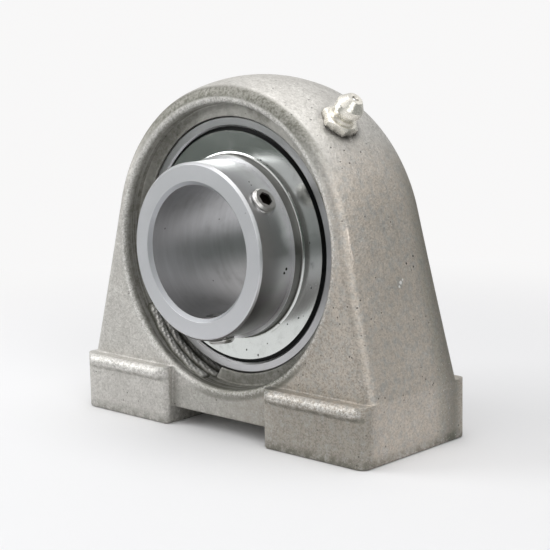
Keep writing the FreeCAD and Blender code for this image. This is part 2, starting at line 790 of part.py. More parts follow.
def between_balls():
    """Point on the pitch circle half way between the first two balls."""
    turn = as_size(180) / size.ball_count
    return size.pitch_radius * cosine(turn), size.pitch_radius * sine(turn)


def cage_half(label, side):
    body = new_body(label)
    inner = size.pitch_radius - size.cage_half_width
    outer = size.pitch_radius + size.cage_half_width
    sheet = size.cage_sheet * side
    shell = size.ball_radius + size.cage_clearance
    band = new_sketch(body, "band_section", "XY_Plane")
    outline(band, [(inner, 0), (outer, 0), (outer, sheet), (inner, sheet)])
    revolve(body, band, "band")
    bulge = pocket_sphere(body, "AdditiveSphere", "bulge", shell + size.cage_sheet, side)
    repeat_round_y(body, "bulges", [bulge], size.ball_count)
    trim = new_sketch(body, "trim_section", "XY_Plane")
    far = (size.ball_radius * 2) * side
    wide = size.ball_radius * 2
    outline(trim, [(inner - wide, 0), (inner, 0), (inner, far), (inner - wide, far)])
    outline(trim, [(outer, 0), (outer + wide, 0), (outer + wide, far), (outer, far)])
    revolve(body, trim, "trimmed", cut=True)
    hollow = pocket_sphere(body, "SubtractiveSphere", "hollow", shell, side)
    repeat_round_y(body, "hollows", [hollow], size.ball_count)
    hole = new_sketch(body, "rivet_hole", "XZ_Plane")
    u, v = between_balls()
    circle(hole, u, v, size.rivet_radius + size.rivet_clearance)
    cut = pocket(body, hole, "rivet_hole_cut", both_ways=True)
    repeat_round_y(body, "rivet_holes", [cut], size.ball_count)


def cage_rivets():
    body = new_body("cage_rivets")
    body.AllowCompound = True
    u, v = between_balls()
    features = []
    shank = new_sketch(body, "shank", "XZ_Plane")
    circle(shank, u, v, size.rivet_radius)
    features.append(pad(body, shank, "shank_pad", size.cage_sheet * 2, both_ways=True))
    for name, side in (("front_head", 1), ("rear_head", -1)):
        head = new_sketch(body, name, "XZ_Plane", shift=size.cage_sheet * side)
        circle(head, u, v, size.rivet_head_radius)
        features.append(pad(body, head, name + "_pad", size.rivet_head_height,
                            backwards=side < 0))
    repeat_round_y(body, "rivets", features, size.ball_count)


# The grease nipple, made along Z from its seat on the housing
ball_lift = size.nipple_height - size.check_ball_depth - size.check_ball_radius
spring_foot = ball_lift - size.check_ball_radius - size.spring_gap - size.spring_length


def nipple_body():
    body = new_body("nipple_body")
    hexagon_sketch = new_sketch(body, "hexagon", "XY_Plane", turn=size.nipple_turn)
    hexagon(hexagon_sketch, size.nipple_hex)
    pad(body, hexagon_sketch, "hexagon_pad", size.nipple_hex_height)
    # Corners of the hexagon are turned off to a cone at 30 degrees
    bevel = new_sketch(body, "bevel", "XZ_Plane")
    corner = size.nipple_hex / root(as_size(3))
    inside = corner - size.nipple_hex_bevel * root(as_size(3))
    outline(bevel, [
        (inside, size.nipple_hex_height),
        (corner, size.nipple_hex_height - size.nipple_hex_bevel),
        (corner + 1, size.nipple_hex_height - size.nipple_hex_bevel),
        (corner + 1, size.nipple_hex_height),
    ])
    revolve(body, bevel, "bevelled_hexagon", cut=True)
    collar_top = size.nipple_hex_height + size.nipple_collar_height
    neck_top = collar_top + size.nipple_neck_height
    cone_top = neck_top + size.nipple_head_cone
    section = new_sketch(body, "outside", "XZ_Plane")
    outline(section, [
        (0, -size.nipple_thread_length),
        (size.nipple_thread, -size.nipple_thread_length),
        (size.nipple_thread, 0),
        (size.nipple_collar, size.nipple_hex_height),
        (size.nipple_collar, collar_top),
        (size.nipple_neck, collar_top),
        (size.nipple_neck, neck_top),
        (size.nipple_head, cone_top),
        (size.nipple_head, cone_top + size.nipple_head_edge),
        (size.nipple_tip, size.nipple_height),
        (0, size.nipple_height),
    ])
    revolve(body, section, "turned_nipple")
    # The cone under the mouth stands at 45 degrees, one gap clear of the ball
    reach = (size.check_ball_radius + size.check_ball_gap) * root(as_size(2))
    shoulder = spring_foot - size.spring_gap
    inside = new_sketch(body, "inside", "XZ_Plane")
    outline(inside, [
        (0, -size.nipple_thread_length - 1),
        (size.nipple_passage, -size.nipple_thread_length - 1),
        (size.nipple_passage, shoulder),
        (size.nipple_bore, shoulder),
        (size.nipple_bore, ball_lift + reach - size.nipple_bore),
        (size.nipple_mouth, ball_lift + reach - size.nipple_mouth),
        (size.nipple_mouth, size.nipple_height + 1),
        (0, size.nipple_height + 1),
    ])
    revolve(body, inside, "drilled_nipple", cut=True)
    set_radial(body, size.nipple_seat, -size.nipple_shift, size.nipple_angle)


def nipple_ball():
    shape = doc.addObject("Part::Sphere", "nipple_ball")
    shape.Label = "nipple_ball"
    shape.setExpression("Radius", size.check_ball_radius.text)
    set_radial(shape, size.nipple_seat + ball_lift, -size.nipple_shift, size.nipple_angle)
    parts.append(shape)


def nipple_spring():
    body = new_body("nipple_spring")
    wire = new_sketch(body, "wire", "XZ_Plane")
    coil = size.nipple_bore - size.spring_gap * 2 - size.spring_wire
    circle(wire, coil, size.spring_wire, size.spring_wire)
    helix = body.newObject("PartDesign::AdditiveHelix", "coil")
    helix.Profile = wire
    helix.ReferenceAxis = (wire, ["V_Axis"])
    helix.Mode = "height-turns-angle"
    helix.setExpression("Height", (size.spring_length - size.spring_wire * 2).text)
    helix.setExpression("Turns", size.spring_turns.text)
    doc.recompute()
    set_radial(body, size.nipple_seat + spring_foot, -size.nipple_shift, size.nipple_angle)


def check(document):
    """Stop where an object failed or a part's shape is not sound."""
    for item in document.Objects:
        if "Invalid" in item.State or "Error" in item.State:
            raise RuntimeError("%s failed: %s" % (item.Label, item.State))
    for part in parts:
        if part.Shape.isNull() or not part.Shape.isValid():
            raise RuntimeError("%s has no sound shape" % part.Label)


def main():
    housing()
    nipple_body()
    nipple_ball()
    nipple_spring()
    outer_ring()
    seal("seal_front", -1)
    seal("seal_rear", 1)
    inner_ring()
    flinger("flinger_front", -1)
    flinger("flinger_rear", 1)
    cage_half("cage_front", -1)
    cage_half("cage_rear", 1)
    cage_rivets()
    for number in range(1, int(size.ball_count.value) + 1):
        ball(number)
    for number, angle in enumerate(screw_angles, start=1):
        set_screw("set_screw_%d" % number, angle)
    doc.recompute()
    check(doc)
    os.makedirs("parts", exist_ok=True)
    for part in parts:
        part.Shape.exportStep("parts/%s.step" % part.Label)
        print("%-14s %2d solid(s) %10.1f mm3" % (part.Label, len(part.Shape.Solids), part.Shape.Volume))


main()
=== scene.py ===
"""Looks, stage and camera for a tapped-base pillow block bearing."""
import math

import bmesh
import bpy
import numpy as np
from bpy.props import FloatProperty, FloatVectorProperty, PointerProperty
from mathutils import Matrix, Vector


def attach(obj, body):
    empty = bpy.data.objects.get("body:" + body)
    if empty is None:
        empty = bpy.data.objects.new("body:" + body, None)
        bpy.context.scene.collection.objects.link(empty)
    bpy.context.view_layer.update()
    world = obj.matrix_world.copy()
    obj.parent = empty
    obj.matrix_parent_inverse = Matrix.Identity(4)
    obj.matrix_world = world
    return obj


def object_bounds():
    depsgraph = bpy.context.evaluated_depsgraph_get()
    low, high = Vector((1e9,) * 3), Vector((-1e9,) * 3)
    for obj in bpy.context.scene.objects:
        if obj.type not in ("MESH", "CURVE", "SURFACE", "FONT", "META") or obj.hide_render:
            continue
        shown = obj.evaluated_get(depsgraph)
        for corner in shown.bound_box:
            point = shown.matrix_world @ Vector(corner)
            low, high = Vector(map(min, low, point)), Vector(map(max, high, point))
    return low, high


bl_info = {
    "name": "Pillow Block",
    "version": (1, 0, 0),
    "blender": (4, 5, 0),
    "location": "View3D > Sidebar > Pillow Block",
    "description": "Finishes of a tapped-base pillow block bearing and its studio",
    "category": "Object",
}

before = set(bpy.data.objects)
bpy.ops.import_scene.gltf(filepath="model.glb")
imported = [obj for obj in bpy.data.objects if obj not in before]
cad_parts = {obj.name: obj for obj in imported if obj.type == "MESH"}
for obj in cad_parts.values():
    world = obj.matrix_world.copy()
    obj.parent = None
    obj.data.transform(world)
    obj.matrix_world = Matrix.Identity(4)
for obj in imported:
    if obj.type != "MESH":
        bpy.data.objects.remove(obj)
CAD_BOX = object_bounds()
BALLS = sorted(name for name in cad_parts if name.startswith("ball_"))
MM = 1000.0  # millimetres in a metre
FLOOR_REACH = 0.32  # metres from the floor's middle to each side

# Radial holes: degrees from +X towards +Z, and millimetres along Y
NIPPLE_TURN, NIPPLE_PLACE = 47.6, -3.1
SCREW_TURNS, SCREW_PLACE = (36.6, -83.4), -17.1

# Small marks that the photograph shows, in millimetres: place and half width
NICKS = (((40.1, 0.0, -5.7), 0.5), ((40.0, 0.8, -5.2), 0.32), ((40.2, -0.6, -6.5), 0.35))
BLACK_MARKS = (((38.8, 6.1, -0.8), 0.34), ((39.3, 3.0, -2.0), 0.32), ((39.3, 5.5, -3.0), 0.3))
COLLAR_MARKS = (((19.8, -14.1, -2.9), 0.46), ((19.7, -14.6, -3.7), 0.42),
                ((12.1, -17.1, 15.9), 0.22), ((12.9, -17.3, 15.3), 0.2))
FLINGER_MARKS = (((20.6, -9.9, -0.6), 0.38), ((2.9, -9.75, -23.8), 0.3),
                 ((6.5, -9.75, -24.6), 0.34), ((9.5, -9.75, -21.5), 0.24),
                 ((15.8, -9.75, -16.3), 0.22), ((10.6, -9.75, 18.8), 0.2))

# The strip on the loading slot: degrees round the shaft, millimetres along Y, radii
SLOT_START, SLOT_MIDDLE, SLOT_END = 208.0, 235.0, 262.0
SLOT_MOUTH, SLOT_SEAT = -13.9, -3.2
SLOT_RIM, SLOT_SKIN, SLOT_BACK = 32.4, 0.08, 33.2
SLOT_ROWS, SLOT_COLUMNS = 260, 96
# Its ridges: place at the middle, slope per degree, half width, height, first and last degree
RIDGES = ((-11.5, -0.045, 1.15, 0.6, 209.0, 257.0), (-8.7, -0.02, 1.1, 0.55, 213.0, 259.0),
          (-5.9, 0.0, 1.1, 0.5, 219.0, 259.0))


# Sizes and colours that a user would change
def colour(name, description, default):
    """Setting for one colour."""
    return FloatVectorProperty(name=name, description=description, subtype="COLOR",
                               size=3, min=0.0, max=1.0, default=default)


class CastingSettings(bpy.types.PropertyGroup):
    light: colour("Light skin", "Peaks of the casting's grain", (0.86, 0.845, 0.81))
    dark: colour("Dark skin", "Hollows of the casting's grain", (0.36, 0.345, 0.32))
    # Brown tint, painted on the flank and the right front as warm shade
    brown_shade: colour("Patina", "Brown tint of the flank", (0.74, 0.62, 0.50))
    # Grit in the skin, and painted shade where it is heavier on the flank and the right front
    rust_and_shade: colour("Rust", "Dark grit in the skin", (0.15, 0.115, 0.09))
    # Used for a grimy film and for painted shade
    grime_and_shade: colour("Grime", "Olive film round the recess", (0.17, 0.168, 0.14))
    # Also the painted shadow under the grease nipple's hexagon
    speck: colour("Specks", "Dark specks and pits", (0.05, 0.045, 0.04))
    # Bare metal, and painted highlights on the mouth, the beads, the slot's crests and the
    # scattered grains
    glint: colour("Glints", "Bare metal on bumps and edges", (0.95, 0.94, 0.92))
    milled: colour("Milled sole", "Undersides of the feet", (0.80, 0.79, 0.77))
    grain: FloatProperty(name="Grain", description="Width of the skin's grains",
                         default=0.0003, unit="LENGTH")
    relief: FloatProperty(name="Relief", description="Height of the skin's grains",
                          default=0.00005, unit="LENGTH")
    soft_edge: FloatProperty(name="Soft edge", description="Rounding of sharp edges",
                             default=0.0006, unit="LENGTH")


class SteelSettings(bpy.types.PropertyGroup):
    ground: colour("Ground steel", "Inner and outer ring", (0.68, 0.685, 0.70))
    sheet: colour("Rolled sheet", "Flingers and cage", (0.66, 0.68, 0.66))
    polished: colour("Polished steel", "Balls", (0.76, 0.76, 0.77))
    screw: colour("Screw steel", "Set screws and the nipple's spring", (0.66, 0.65, 0.63))
    plating: colour("Plating", "Grease nipple", (0.93, 0.895, 0.81))
    stain: colour("Stain", "Oil film and handling marks", (0.22, 0.205, 0.20))
    lapped: colour("Lapped face", "Front face of the inner ring", (0.67, 0.675, 0.70))
    chamfer: colour("Chamfer", "Edge of the shaft bore", (0.42, 0.43, 0.45))
    hub: colour("Oily hub", "Hub of a flinger", (0.17, 0.165, 0.16))
    # Painted highlight on the hub's sheared end
    hub_edge_highlight: colour("Hub's edge", "Sheared end of that hub", (0.85, 0.85, 0.86))
    # Dirty nicks, and painted shade low on the collar's side and in the outer ring's gap
    dirt_and_shade: colour("Dirt", "Nicks, low sides and the outer ring's gap", (0.06, 0.055, 0.05))
    mark: colour("Marks", "Black marks on the inner ring", (0.02, 0.018, 0.016))
    sheet_mark: colour("Sheet marks", "Black marks on a flinger", (0.015, 0.014, 0.012))
    sheet_speck: colour("Sheet specks", "Specks on a flinger", (0.02, 0.02, 0.02))
    # Painted shade inside a set screw's hexagon socket
    socket: colour("Socket", "Inside a set screw's hexagon", (0.05, 0.038, 0.028))
    # A dirty film and painted shade low on the nipple's hexagon
    foot: colour("Nipple's foot", "Dirt low on the nipple's hexagon", (0.09, 0.075, 0.055))


class SealSettings(bpy.types.PropertyGroup):
    rubber: colour("Rubber", "Seals", (0.006, 0.006, 0.006))
    bloom: colour("Bloom", "Dull film on the seals", (0.02, 0.02, 0.02))


class StudioSettings(bpy.types.PropertyGroup):
    floor: colour("Floor", "Colour of the floor", (0.83, 0.83, 0.835))
    paper: colour("Backdrop", "Colour of the backdrop", (0.94, 0.935, 0.935))
    room: colour("Room", "The dim room that smooth steel reflects", (0.085, 0.10, 0.09))
    dome_far: colour("Dome, far side", "Soft light from the right and back",
                     (0.30, 0.30, 0.305))
    dome_near: colour("Dome, near side", "Soft light from the left and front",
                      (0.46, 0.46, 0.465))
    key: FloatProperty(name="Key light", description="Soft box at the front left",
                       default=1.15, unit="POWER")
    top: FloatProperty(name="Top light", description="Soft box overhead",
                       default=3.5, unit="POWER")
    fill: FloatProperty(name="Fill light", description="Soft box at the right",
                        default=1.35, unit="POWER")
    azimuth: FloatProperty(name="Azimuth", description="Camera to the right of the front",
                           default=math.radians(43.53), subtype="ANGLE")
    elevation: FloatProperty(name="Elevation", description="Camera above the shaft",
                             default=math.radians(8.15), subtype="ANGLE")
    roll: FloatProperty(name="Roll", description="Camera's roll",
                        default=math.radians(-1.11), subtype="ANGLE")
    distance: FloatProperty(name="Distance", description="Camera from the shaft's centre",
                            default=0.34191, unit="LENGTH")
    aim_right: FloatProperty(name="Aim right", description="Aim to the right of the centre",
                             default=0.00234, unit="LENGTH")
    aim_up: FloatProperty(name="Aim up", description="Aim above the centre",
                          default=-0.00801, unit="LENGTH")
    lens: FloatProperty(name="Lens", description="Focal length in millimetres",
                        default=96.28)


# Shader arithmetic
class Value:
    """One output of a node; arithmetic on it adds Math nodes."""

    def __init__(self, surface, socket):
        self.surface = surface
        self.socket = socket

    def math(self, operation, *inputs):
        """Result of one Math node."""
        return self.surface.node("ShaderNodeMath", {"operation": operation}, inputs)

    def __add__(self, other):
        return self.math("ADD", self, other)

    __radd__ = __add__

    def __sub__(self, other):
        return self.math("SUBTRACT", self, other)

    def __rsub__(self, other):
        return self.math("SUBTRACT", other, self)

    def __mul__(self, other):
        return self.math("MULTIPLY", self, other)

    __rmul__ = __mul__

    def __truediv__(self, other):
        return self.math("DIVIDE", self, other)

    def __rtruediv__(self, other):
        return self.math("DIVIDE", other, self)

    def __abs__(self):
        return self.math("ABSOLUTE", self)

    def root(self):
        return self.math("SQRT", self)

    def sine(self):
        return self.math("SINE", self)

    def most(self, other):
        return self.math("MAXIMUM", self, other)

    def rise(self, low, high):
        """0 below low, 1 above high and smooth between; low may be the larger."""
        settings = {"interpolation_type": "SMOOTHSTEP", "clamp": True}
        if low > high:
            return 1.0 - self.rise(high, low)
        return self.surface.node("ShaderNodeMapRange", settings, (self, low, high))

    def band(self, low, high, soft):
        """1 between low and high, with soft ends."""
        return self.rise(low - soft, low + soft) * self.rise(high + soft, high - soft)

    def output(self, name):
        """Another output of the same node."""
        return Value(self.surface, self.socket.node.outputs[name])


class Surface:
    """Shader of a material or a world in the making; node() adds any node and wires it."""

    def __init__(self, owner, coordinate="Object", scale=MM):
        self.owner = owner
        owner.use_nodes = True
        self.tree = owner.node_tree
        self.tree.nodes.clear()
        place = self.node("ShaderNodeTexCoord", {}, (), output=coordinate)
        self.point = self.vector("SCALE", place, scale=scale)
        self.x = self.node("ShaderNodeSeparateXYZ", {}, (self.point,))
        self.y = self.x.output("Y")
        self.z = self.x.output("Z")

    def node(self, kind, settings, inputs, output=0):
        """Add a node: settings first, then values or links on its sockets."""
        made = self.tree.nodes.new(kind)
        for key, value in settings.items():
            setattr(made, key, value)
        pairs = inputs.items() if isinstance(inputs, dict) else enumerate(inputs)
        for key, value in pairs:
            if isinstance(value, Value):
                self.tree.links.new(value.socket, made.inputs[key])
            else:
                made.inputs[key].default_value = value
        return None if output is None else Value(self, made.outputs[output])

    def vector(self, operation, first, second=(0.0, 0.0, 0.0), scale=1.0):
        """Vector arithmetic on one or two vectors."""
        return self.node("ShaderNodeVectorMath", {"operation": operation},
                         {0: first, 1: second, 3: scale})

    def combine(self, x, y, z):
        """Vector from three values."""
        return self.node("ShaderNodeCombineXYZ", {}, (x, y, z))

    def noise(self, width, detail=2.0, roughness=0.5, place=None):
        """Cloudy noise from 0 to 1 whose blotches are about width millimetres."""
        return self.node("ShaderNodeTexNoise", {}, {
            "Vector": place or self.point, "Scale": 1.0 / width, "Detail": detail,
            "Roughness": roughness})

    def cells(self, width):
        """Distance to the nearest of scattered points about width apart, in widths."""
        return self.node("ShaderNodeTexVoronoi", {}, {
            "Vector": self.point, "Scale": 1.0 / width}, output="Distance")

    def grains(self, width):
        """A chance value from 0 to 1 for each of scattered grains about width across."""
        chance = self.node("ShaderNodeTexVoronoi", {}, {
            "Vector": self.point, "Scale": 1.0 / width}, output="Color")
        return self.node("ShaderNodeSeparateXYZ", {}, (chance,))

    def blend(self, factor, first, second):
        """Colour that goes from first to second as the factor rises."""
        pair = [c if isinstance(c, Value) else tuple(c) + (1.0,) for c in (first, second)]
        return self.node("ShaderNodeMix", {"data_type": "RGBA"},
                         {0: factor, 6: pair[0], 7: pair[1]}, output=2)

    def radius(self):
        """Distance from the shaft's axis in millimetres."""
        return (self.x * self.x + self.z * self.z).root()

    def near(self, place, size, rough):
        """1 within size millimetres of a place, with a rough edge."""
        away = self.vector("DISTANCE", self.point, place).output("Value")
        return (away + (rough - 0.5) * (size * 1.6)).rise(size, size * 0.6)

    def around(self, turns, along):
        """Place for streaks that run round the shaft: fine across, long round."""
        radius = self.radius()
        across = (self.y + radius) * along
        return self.combine(self.x / radius * turns, self.z / radius * turns, across)

    def spoke(self, turn, place):
        """Millimetres along, across and beside a radial hole's axis, and away from it."""
        turn = math.radians(turn)
        along = self.x * math.cos(turn) + self.z * math.sin(turn)
        across = self.z * math.cos(turn) - self.x * math.sin(turn)
        beside = self.y - place
        return along, across, beside, (across * across + beside * beside).root()

    def relief(self, height, normal=None):
        """Bump from a height in millimetres."""
        inputs = {"Distance": 1.0 / MM, "Height": height}
        if normal is not None:
            inputs["Normal"] = normal
        return self.node("ShaderNodeBump", {}, inputs)

    def close(self, shader, kind="Material"):
        """Join the shader to the output."""
        self.node("ShaderNodeOutput" + kind, {}, {"Surface": shader}, output=None)
        return self.owner

    def finish(self, **sockets):
        """Principled surface; constants are set on its own sockets."""
        shader = self.node("ShaderNodeBsdfPrincipled", {}, {
            name.replace("_", " "): value for name, value in sockets.items()})
        return self.close(shader)


def helix(along, across, beside, pitch):
    """Wave from -1 to 1 that winds round an axis like a screw thread."""
    turn = beside.math("ARCTAN2", beside, across)
    return (along * (2.0 * math.pi / pitch) + turn).sine()


def thread(along, across, beside, pitch, radius):
    """Ridges of a screw thread near a hole's wall, 0 elsewhere."""
    reach = (across * across + beside * beside).root()
    return helix(along, across, beside, pitch) * reach.rise(radius + 0.25, radius + 0.1)


def new_surface(name):
    """Shader of a new material."""
    return Surface(bpy.data.materials.new(name))


def dress(material, *nodes):
    """Give CAD nodes one material."""
    for name in nodes:
        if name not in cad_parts:
            raise RuntimeError("the frame has no node " + name)
        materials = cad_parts[name].data.materials
        if len(materials):
            for index in range(len(materials)):
                materials[index] = material
        else:
            materials.append(material)


# Finishes
def casting_finish(settings):
    """Blasted cast steel: grains, pits, nicks and a grimy film round the recess, with painted
    shade (a brown flank, the rim, the rear and the lower right) and painted highlights on
    edges.

    Its lengths are in millimetres from the shaft's centre.
    """
    s = new_surface("blasted_casting")

    # Patterns, each from 0 to 1
    grain_width = settings.grain * MM
    grain_height = settings.relief * MM
    fine = s.noise(grain_width, 3.0, 0.65)
    coarse = s.noise(grain_width * 1.9, 2.0)
    mottle = s.noise(1.7, 4.0, 0.72)
    small = s.grains(grain_width * 1.1)
    large = s.grains(grain_width * 2.3)
    blotch = s.noise(5.0, 3.0, 0.6)
    cloud = s.noise(22.0, 2.0)
    pits = s.cells(1.5).rise(0.17, 0.07) * s.noise(6.0, 2.0).rise(0.5, 0.6)
    glints = s.cells(0.85).rise(0.16, 0.06) * s.noise(3.0).rise(0.42, 0.6)

    # Places, each 1 where its name says and 0 elsewhere
    radius = s.radius()
    front = abs(s.y)
    flank = s.x.rise(27.0, 36.0) * front.rise(16.5, 13.0)
    sole = s.z.rise(-42.75, -42.85)
    recess = radius.rise(33.4, 32.4) * front.rise(15.8, 14.5)
    rim = radius.band(33.9, 37.2, 0.35) * front.rise(11.2, 12.2) * s.z.rise(15.0, 29.0)
    web = s.z.rise(-30.0, -35.0) * abs(s.x).rise(19.0, 14.0) * front.rise(17.5, 16.5)
    rear = flank * s.y.rise(4.0, 15.0)
    right = s.x.rise(-8.0, 30.0) * front.rise(11.0, 13.5) * s.z.rise(6.0, -4.0)
    right = right * (1.0 - flank)
    sill = (radius.rise(35.2, 34.2) * front.rise(11.5, 13.0) * s.z.rise(-20.0, -27.0)
            * s.x.rise(-12.0, -3.0))
    foot = s.z.rise(-29.0, -32.0) * s.x.rise(12.0, 20.0) * s.y.rise(-15.0, -17.0)
    low = s.z.rise(-39.8, -42.3) * (1.0 - sole)
    under_bead_shadow = s.z.band(-32.6, -31.6, 0.4) * front.rise(16.8, 17.6)

    # Skin with its grit, and then what lies on it. The brown tint on the flank and the right
    # front is painted shade.
    tone = (fine * 0.4 + coarse * 0.3 + mottle * 0.3).rise(0.33, 0.67)
    tone = tone * 0.55 + small * 0.3 + large * 0.15
    skin = s.blend(tone, settings.dark, settings.light)
    skin = s.blend((cloud * 0.5 + blotch * 0.5).rise(0.62, 0.4) * 0.22, skin, settings.dark)
    skin = s.blend((flank + right) * mottle.rise(0.3, 0.6) * 0.45, skin, settings.brown_shade)
    grit = (small * 0.45 + fine * 0.25 + mottle * 0.3).rise(0.42, 0.72)
    # Grit everywhere, heavier on the flank and the right front as painted shade
    grit = grit * (0.08 + flank * 0.24 + right * 0.38)
    skin = s.blend(grit, skin, settings.rust_and_shade)
    # Grimy film and painted shade darken the feet's fronts and the web below the ring
    skin = s.blend((foot * 0.35 + web * 0.4) * mottle.rise(0.2, 0.6), skin, settings.grime_and_shade)
    # Olive film: darker in the recess, a dirty band low on the sides, darker at the lower right
    # of the mouth; painted shade on the rim's top front face, the rear of the flank and low on
    # the right front; a painted shadow under the beads of the feet
    film = recess * (0.42 + mottle.rise(0.3, 0.7) * 0.45)
    film = film + rim * (0.55 + coarse.rise(0.3, 0.7) * 0.45)
    film = film + low * mottle.rise(0.35, 0.6) * 0.6 + under_bead_shadow * mottle.rise(0.4, 0.6) * 0.5
    film = film + rear * 0.75 + sill * 0.6 + right * s.z.rise(6.0, -14.0) * 0.28
    skin = s.blend(film, skin, settings.grime_and_shade)
    skin = s.blend(pits * 0.8, skin, settings.speck)
    # Scattered bright grains: bare metal and painted sparkle
    skin = s.blend(glints * (0.35 + flank * 0.25) * (1.0 - recess * 0.7), skin, settings.glint)

    # Painted shadow and a dirty film under the grease nipple's hexagon, heavier on one side
    _, across, _, reach = s.spoke(NIPPLE_TURN, NIPPLE_PLACE)
    dirt_and_shade = reach.rise(6.4, 3.9) * (s.x + s.z).rise(30.0, 34.0) * mottle.rise(0.3, 0.55)
    skin = s.blend(dirt_and_shade * (0.45 + across.rise(1.0, -2.0) * 0.5), skin, settings.speck)

    # Bare metal and painted highlight along the recess's mouth, stronger towards the top, and
    # on the beads of the feet; bright nicks
    mouth = radius.band(32.6, 33.7, 0.4) * front.rise(11.5, 12.6)
    bead = s.z.band(-31.4, -29.6, 0.4) * front.rise(17.4, 18.2)
    wear_and_highlight = (fine * 0.6 + coarse * 0.4).rise(0.42, 0.6) * 0.5
    bare_and_highlight = (mouth * (0.5 + s.z.rise(-34.0, -20.0) * 0.5) + bead) * wear_and_highlight
    for place, size in NICKS:
        bare_and_highlight = bare_and_highlight + s.near(place, size, fine)
    skin = s.blend(bare_and_highlight, skin, settings.glint)
    for place, size in BLACK_MARKS:
        skin = s.blend(s.near(place, size, fine), skin, settings.speck)

    # Turning marks on the recess's wall; the sole is milled; the tapped holes have threads
    rings = s.noise(1.0, 2.0, 0.6, place=s.combine(s.x * 0.03, s.y * 1.5, s.z * 0.03))
    skin = s.blend(recess * rings.rise(0.5, 0.62) * 0.3, skin, settings.light)
    mills = s.noise(0.35, 1.0, place=s.combine(s.x * 2.4, s.y * 0.12, s.z))
    skin = s.blend(sole * 0.6, skin, settings.milled)
    holes = thread(s.z, abs(s.x) - 33.0, s.y, 2.0, 6.0) * s.z.rise(-22.0, -24.0)
    height = fine * grain_height + coarse * (grain_height * 1.6) + mottle * 0.1 + blotch * 0.1
    height = height + small * (grain_height * 0.6)
    height = (height - pits * 0.12 + glints * 0.03) * (1.0 - sole * 0.85)
    height = height + mills * sole * 0.012 + holes * 0.25 + recess * rings * 0.15
    soft = s.node("ShaderNodeBevel", {"samples": 6}, {"Radius": settings.soft_edge})
    rough = 0.44 + fine * 0.22 + recess * 0.08 - sole * 0.1
    return s.finish(Base_Color=skin, Metallic=0.82, Roughness=rough,
                    Normal=s.relief(height, soft))


def ridge_finish(settings):
    """Torn steel of the loading slot: crests bright as bare metal and painted highlight,
    valleys darkened as a grimy film and painted shade.
    """
    s = new_surface("slot_ridges")
    crest = s.node("ShaderNodeAttribute", {"attribute_name": "crest"}, (), output="Fac")
    mottle = s.noise(1.0, 4.0, 0.7)
    tear = s.noise(1.0, 3.0, 0.65, place=s.combine(s.x * 0.8 + s.z * 0.5, s.y * 1.4, s.z * 0.6))
    # Crests bright as bare metal and painted highlight; valleys darkened as a grimy film and
    # painted shade
    tone = (crest + (mottle - 0.5) * 0.5).rise(0.1, 1.0) * 0.8
    skin = s.blend(tone, settings.grime_and_shade, settings.light)
    skin = s.blend(crest.rise(0.7, 1.0) * tear.rise(0.5, 0.66) * 0.6, skin, settings.glint)
    return s.finish(Base_Color=skin, Metallic=0.8, Roughness=0.4 + mottle * 0.25,
                    Normal=s.relief(mottle * 0.05 + tear * 0.06))


def ground_finish(settings, name, screw_turns=(), marks=()):
    """Ground steel: fine streaks round the shaft, oil, dirty nicks, marks and threaded holes,
    and painted shade low on the collar's side and in the outer ring's gap.
    """
    s = new_surface(name)
    streaks = s.noise(1.0, 3.0, 0.65, place=s.around(5.0, 9.0))
    broad = s.noise(1.0, 2.0, 0.5, place=s.around(1.6, 0.8))
    fine = s.noise(0.5, 3.0, 0.6)
    stain = s.noise(7.0, 3.0, 0.6).rise(0.5, 0.75)
    nick = s.cells(3.4).rise(0.09, 0.04) * s.noise(5.0).rise(0.56, 0.6)
    radius = s.radius()
    bore = radius.rise(15.3, 15.05)
    lip = radius.band(15.02, 15.8, 0.1) * s.y.rise(-21.0, -21.6)
    face = s.y.rise(-21.9, -22.1) * radius.rise(15.8, 15.9)
    side = radius.rise(18.6, 19.4) * radius.rise(21.2, 20.8) * (1.0 - face)
    # The bore darkens towards the bottom; the collar's side darkens towards the bottom as
    # painted shade
    darker_below = bore * s.z.rise(-3.0, -14.0) * 0.55 + side * s.z.rise(3.0, -14.0)
    tone = s.blend(stain * 0.18 + bore * (0.05 + broad * 0.3), settings.ground, settings.stain)
    tone = s.blend(darker_below * (0.8 + stain * 0.2), tone, settings.stain)
    tone = s.blend(side * s.z.rise(-3.0, -14.0) * 0.75, tone, settings.dirt_and_shade)
    tone = s.blend(radius.rise(21.5, 23.0) * 0.3, tone, settings.stain)
    # Painted shadow of the gap between the outer ring and the housing, on the ring's outer rim
    tone = s.blend(radius.rise(29.0, 29.5) * 0.6, tone, settings.dirt_and_shade)
    tone = s.blend(face * 0.8, tone, settings.lapped)
    tone = s.blend(lip * 0.9, tone, settings.chamfer)
    tone = s.blend(nick * 0.85, tone, settings.dirt_and_shade)
    for place, size in marks:
        tone = s.blend(s.near(place, size, fine), tone, settings.mark)
    height = streaks * 0.004 + broad * 0.004 - nick * 0.03
    for turn in screw_turns:
        along, across, beside, _ = s.spoke(turn, SCREW_PLACE)
        outward = along.rise(0.0, 1.0)
        height = height + thread(along, across, beside, 1.0, 3.0) * outward * 0.1
    rough = 0.22 + streaks * 0.1 + broad * 0.06 + stain * 0.06
    rough = rough + bore * 0.1 + face * 0.16 + lip * 0.2
    return s.finish(Base_Color=tone, Metallic=1.0, Roughness=rough, Normal=s.relief(height))


